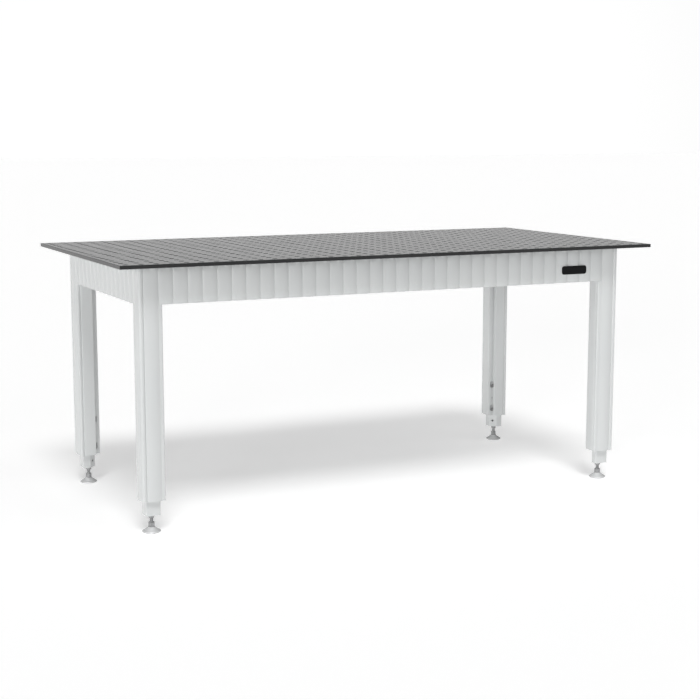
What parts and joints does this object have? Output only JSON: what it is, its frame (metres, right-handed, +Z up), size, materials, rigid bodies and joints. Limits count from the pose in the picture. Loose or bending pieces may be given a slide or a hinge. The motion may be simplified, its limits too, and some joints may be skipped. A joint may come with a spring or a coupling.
{
  "type": "welding table",
  "caption": "Free-standing welding table: perforated steel clamping plate on a fluted sheet-steel frame with telescoping legs and levelling feet.",
  "frame": {"origin": "on the floor, under the centre of the top plate", "axes": "+X along the table's length to the right, +Y from the front to the back, +Z up"},
  "size_m": [2, 1, 0.885],
  "materials": {
    "plate": "nitrided dark grey steel, satin",
    "frame": "light grey powder coat, fine texture",
    "guide": "milled",
    "black_steel": "black oxide socket-head screws",
    "stainless": "polished stainless steel",
    "pad": "matt grey",
    "badge": "plain black plate with a pale rim"
  },
  "bodies": {
    "frame": {"top_plate": "plate", "front_apron": "frame", "back_apron": "frame", "left_apron": "frame", "right_apron": "frame", "left_cross_beam": "frame", "right_cross_beam": "frame", "badge": "badge", "front_left_leg_casing": "frame", "front_left_guide_block": "guide", "front_left_corner_bracket": "frame", "front_left_plate_screw": "black_steel", "front_right_leg_casing": "frame", "front_right_guide_block": "guide", "front_right_corner_bracket": "frame", "front_right_plate_screw": "black_steel", "back_left_leg_casing": "frame", "back_left_guide_block": "guide", "back_left_corner_bracket": "frame", "back_left_plate_screw": "black_steel", "back_right_leg_casing": "frame", "back_right_guide_block": "guide", "back_right_corner_bracket": "frame", "back_right_plate_screw": "black_steel"},
    "front_left_leg": {"front_left_inner_leg": "frame", "front_left_leg_end_plate": "frame", "front_left_lower_clamp_bolt": "black_steel", "front_left_upper_clamp_bolt": "black_steel", "front_left_lock_nut": "stainless"},
    "front_left_foot": {"front_left_foot_bell": "stainless", "front_left_foot_pad": "pad"},
    "front_left_spindle": {"front_left_foot_spindle": "stainless", "front_left_spindle_nut": "stainless"},
    "front_right_leg": {"front_right_inner_leg": "frame", "front_right_leg_end_plate": "frame", "front_right_lower_clamp_bolt": "black_steel", "front_right_upper_clamp_bolt": "black_steel", "front_right_lock_nut": "stainless"},
    "front_right_foot": {"front_right_foot_bell": "stainless", "front_right_foot_pad": "pad"},
    "front_right_spindle": {"front_right_foot_spindle": "stainless", "front_right_spindle_nut": "stainless"},
    "back_left_leg": {"back_left_inner_leg": "frame", "back_left_leg_end_plate": "frame", "back_left_lower_clamp_bolt": "black_steel", "back_left_upper_clamp_bolt": "black_steel", "back_left_lock_nut": "stainless"},
    "back_left_foot": {"back_left_foot_bell": "stainless", "back_left_foot_pad": "pad"},
    "back_left_spindle": {"back_left_foot_spindle": "stainless", "back_left_spindle_nut": "stainless"},
    "back_right_leg": {"back_right_inner_leg": "frame", "back_right_leg_end_plate": "frame", "back_right_lower_clamp_bolt": "black_steel", "back_right_upper_clamp_bolt": "black_steel", "back_right_lock_nut": "stainless"},
    "back_right_foot": {"back_right_foot_bell": "stainless", "back_right_foot_pad": "pad"},
    "back_right_spindle": {"back_right_foot_spindle": "stainless", "back_right_spindle_nut": "stainless"}
  },
  "joints": [
    {"name": "front_left_leg_slide", "type": "slide", "parent": "frame", "child": "front_left_leg", "axis": [0, 0, -1], "range_m": [-0.014, 0]},
    {"name": "front_left_foot_slide", "type": "slide", "parent": "front_left_leg", "child": "front_left_foot", "axis": [0, 0, -1], "range_m": [-0.0105, 0.035]},
    {"name": "front_left_spindle_turn", "type": "hinge", "parent": "front_left_foot", "child": "front_left_spindle", "pos_m": [-0.877, -0.377, 0.09], "axis": [0, 0, -1], "range_deg": [-2160, 7200]},
    {"name": "front_right_leg_slide", "type": "slide", "parent": "frame", "child": "front_right_leg", "axis": [0, 0, -1], "range_m": [-0.014, 0]},
    {"name": "front_right_foot_slide", "type": "slide", "parent": "front_right_leg", "child": "front_right_foot", "axis": [0, 0, -1], "range_m": [-0.0105, 0.035]},
    {"name": "front_right_spindle_turn", "type": "hinge", "parent": "front_right_foot", "child": "front_right_spindle", "pos_m": [0.877, -0.377, 0.09], "axis": [0, 0, -1], "range_deg": [-2160, 7200]},
    {"name": "back_left_leg_slide", "type": "slide", "parent": "frame", "child": "back_left_leg", "axis": [0, 0, -1], "range_m": [-0.014, 0]},
    {"name": "back_left_foot_slide", "type": "slide", "parent": "back_left_leg", "child": "back_left_foot", "axis": [0, 0, -1], "range_m": [-0.0105, 0.035]},
    {"name": "back_left_spindle_turn", "type": "hinge", "parent": "back_left_foot", "child": "back_left_spindle", "pos_m": [-0.877, 0.377, 0.09], "axis": [0, 0, -1], "range_deg": [-2160, 7200]},
    {"name": "back_right_leg_slide", "type": "slide", "parent": "frame", "child": "back_right_leg", "axis": [0, 0, -1], "range_m": [-0.014, 0]},
    {"name": "back_right_foot_slide", "type": "slide", "parent": "back_right_leg", "child": "back_right_foot", "axis": [0, 0, -1], "range_m": [-0.0105, 0.035]},
    {"name": "back_right_spindle_turn", "type": "hinge", "parent": "back_right_foot", "child": "back_right_spindle", "pos_m": [0.877, 0.377, 0.09], "axis": [0, 0, -1], "range_deg": [-2160, 7200]}
  ],
  "couplings": [
    {"joint": "front_left_spindle_turn", "follows": "front_left_foot_slide", "rad_per_m": 3590.4},
    {"joint": "front_right_spindle_turn", "follows": "front_right_foot_slide", "rad_per_m": 3590.4},
    {"joint": "back_left_spindle_turn", "follows": "back_left_foot_slide", "rad_per_m": 3590.4},
    {"joint": "back_right_spindle_turn", "follows": "back_right_foot_slide", "rad_per_m": 3590.4}
  ]
}
